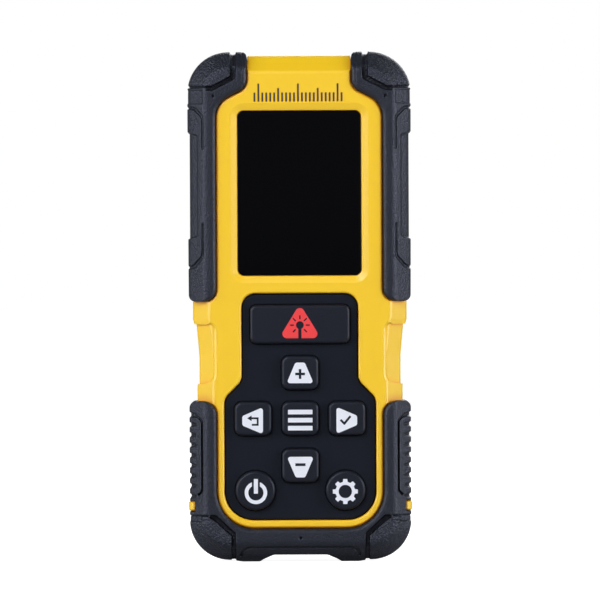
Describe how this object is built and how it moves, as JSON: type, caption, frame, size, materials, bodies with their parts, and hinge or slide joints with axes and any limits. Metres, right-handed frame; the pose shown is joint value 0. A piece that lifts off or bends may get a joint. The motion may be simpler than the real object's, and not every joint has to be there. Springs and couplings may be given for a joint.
{
  "type": "laser distance meter",
  "caption": "Handheld laser distance meter: yellow split case with black rubber bumpers, colour display, rubber keypad, laser window and battery door.",
  "frame": {"origin": "under the middle of the foot, at the centre of the bottom of the bounding box", "axes": "+Z along the length, from the foot to the laser end; -Y is the way the display and keypad face; +X is to the right of someone who looks at the display"},
  "size_m": [0.0548, 0.028, 0.125],
  "materials": {
    "yellow_plastic": "fine satin moulded texture",
    "bumper_rubber": "matte, fine grain, coarser at the corners",
    "keypad_rubber": "matte with a slight sheen on the key edges",
    "seal_rubber": "matte",
    "legend_white": "printed",
    "legend_red": "printed",
    "display_glass": "polished",
    "optical_glass": "polished, coated",
    "red_filter": "polished",
    "black_plastic": "moulded",
    "circuit_board": "solder mask",
    "brass": "turned",
    "steel": "plated",
    "cell_jacket": "satin film over the can",
    "polyester_film": "clear film with steel domes",
    "amber_flex": "polyimide",
    "label_plate": "satin, blank"
  },
  "bodies": {
    "housing": {"aperture_window": "red_filter", "battery_left": "cell_jacket", "battery_right": "cell_jacket", "board_screw_left": "steel", "board_screw_right": "steel", "bumper_lower": "bumper_rubber", "bumper_upper_left": "bumper_rubber", "bumper_upper_right": "bumper_rubber", "buzzer": "black_plastic", "case_screw_bottom_left": "steel", "case_screw_bottom_right": "steel", "case_screw_middle_left": "steel", "case_screw_middle_right": "steel", "case_screw_top_left": "steel", "case_screw_top_right": "steel", "contact_bridge": "steel", "contact_plate_left": "steel", "contact_plate_right": "steel", "contact_spring_left": "steel", "contact_spring_right": "steel", "display_flex": "amber_flex", "display_gasket": "seal_rubber", "display_window": "display_glass", "dome_sheet": "polyester_film", "emitter_lens": "optical_glass", "flex_connector": "black_plastic", "front_shell": "yellow_plastic", "keypad_mat": "keypad_rubber", "label_plate": "label_plate", "laser_module": "brass", "lcd_module": "display_glass", "main_board": "circuit_board", "optics_chassis": "black_plastic", "processor_chip": "black_plastic", "rear_shell": "yellow_plastic", "receiver_lens": "optical_glass", "receiver_sensor": "steel", "sensor_board": "circuit_board", "shell_seal": "seal_rubber", "shield_can": "steel", "tripod_insert": "brass", "window_bezel": "black_plastic"},
    "battery_door": {"battery_door": "yellow_plastic", "battery_door_seal": "seal_rubber"},
    "battery_latch": {"battery_latch": "black_plastic"},
    "measure_key": {"measure_key": "keypad_rubber"},
    "plus_key": {"plus_key": "keypad_rubber"},
    "back_key": {"back_key": "keypad_rubber"},
    "menu_key": {"menu_key": "keypad_rubber"},
    "ok_key": {"ok_key": "keypad_rubber"},
    "minus_key": {"minus_key": "keypad_rubber"},
    "power_key": {"power_key": "keypad_rubber"},
    "settings_key": {"settings_key": "keypad_rubber"}
  },
  "joints": [
    {"name": "measure_key_press", "type": "slide", "parent": "housing", "child": "measure_key", "axis": [0, 1, 0], "range_m": [0, 0.0007], "stiffness_N_per_m": 300, "springref_m": -0.0005},
    {"name": "plus_key_press", "type": "slide", "parent": "housing", "child": "plus_key", "axis": [0, 1, 0], "range_m": [0, 0.0007], "stiffness_N_per_m": 300, "springref_m": -0.0005},
    {"name": "back_key_press", "type": "slide", "parent": "housing", "child": "back_key", "axis": [0, 1, 0], "range_m": [0, 0.0007], "stiffness_N_per_m": 300, "springref_m": -0.0005},
    {"name": "menu_key_press", "type": "slide", "parent": "housing", "child": "menu_key", "axis": [0, 1, 0], "range_m": [0, 0.0007], "stiffness_N_per_m": 300, "springref_m": -0.0005},
    {"name": "ok_key_press", "type": "slide", "parent": "housing", "child": "ok_key", "axis": [0, 1, 0], "range_m": [0, 0.0007], "stiffness_N_per_m": 300, "springref_m": -0.0005},
    {"name": "minus_key_press", "type": "slide", "parent": "housing", "child": "minus_key", "axis": [0, 1, 0], "range_m": [0, 0.0007], "stiffness_N_per_m": 300, "springref_m": -0.0005},
    {"name": "power_key_press", "type": "slide", "parent": "housing", "child": "power_key", "axis": [0, 1, 0], "range_m": [0, 0.0007], "stiffness_N_per_m": 300, "springref_m": -0.0005},
    {"name": "settings_key_press", "type": "slide", "parent": "housing", "child": "settings_key", "axis": [0, 1, 0], "range_m": [0, 0.0007], "stiffness_N_per_m": 300, "springref_m": -0.0005},
    {"name": "battery_door_swing", "type": "hinge", "parent": "housing", "child": "battery_door", "pos_m": [0, 0.0132, 0.0114], "axis": [-1, 0, 0], "range_deg": [0, 75]},
    {"name": "battery_latch_slide", "type": "slide", "parent": "battery_door", "child": "battery_latch", "axis": [0, 0, -1], "range_m": [0, 0.0018], "stiffness_N_per_m": 60, "springref_m": -0.001}
  ]
}
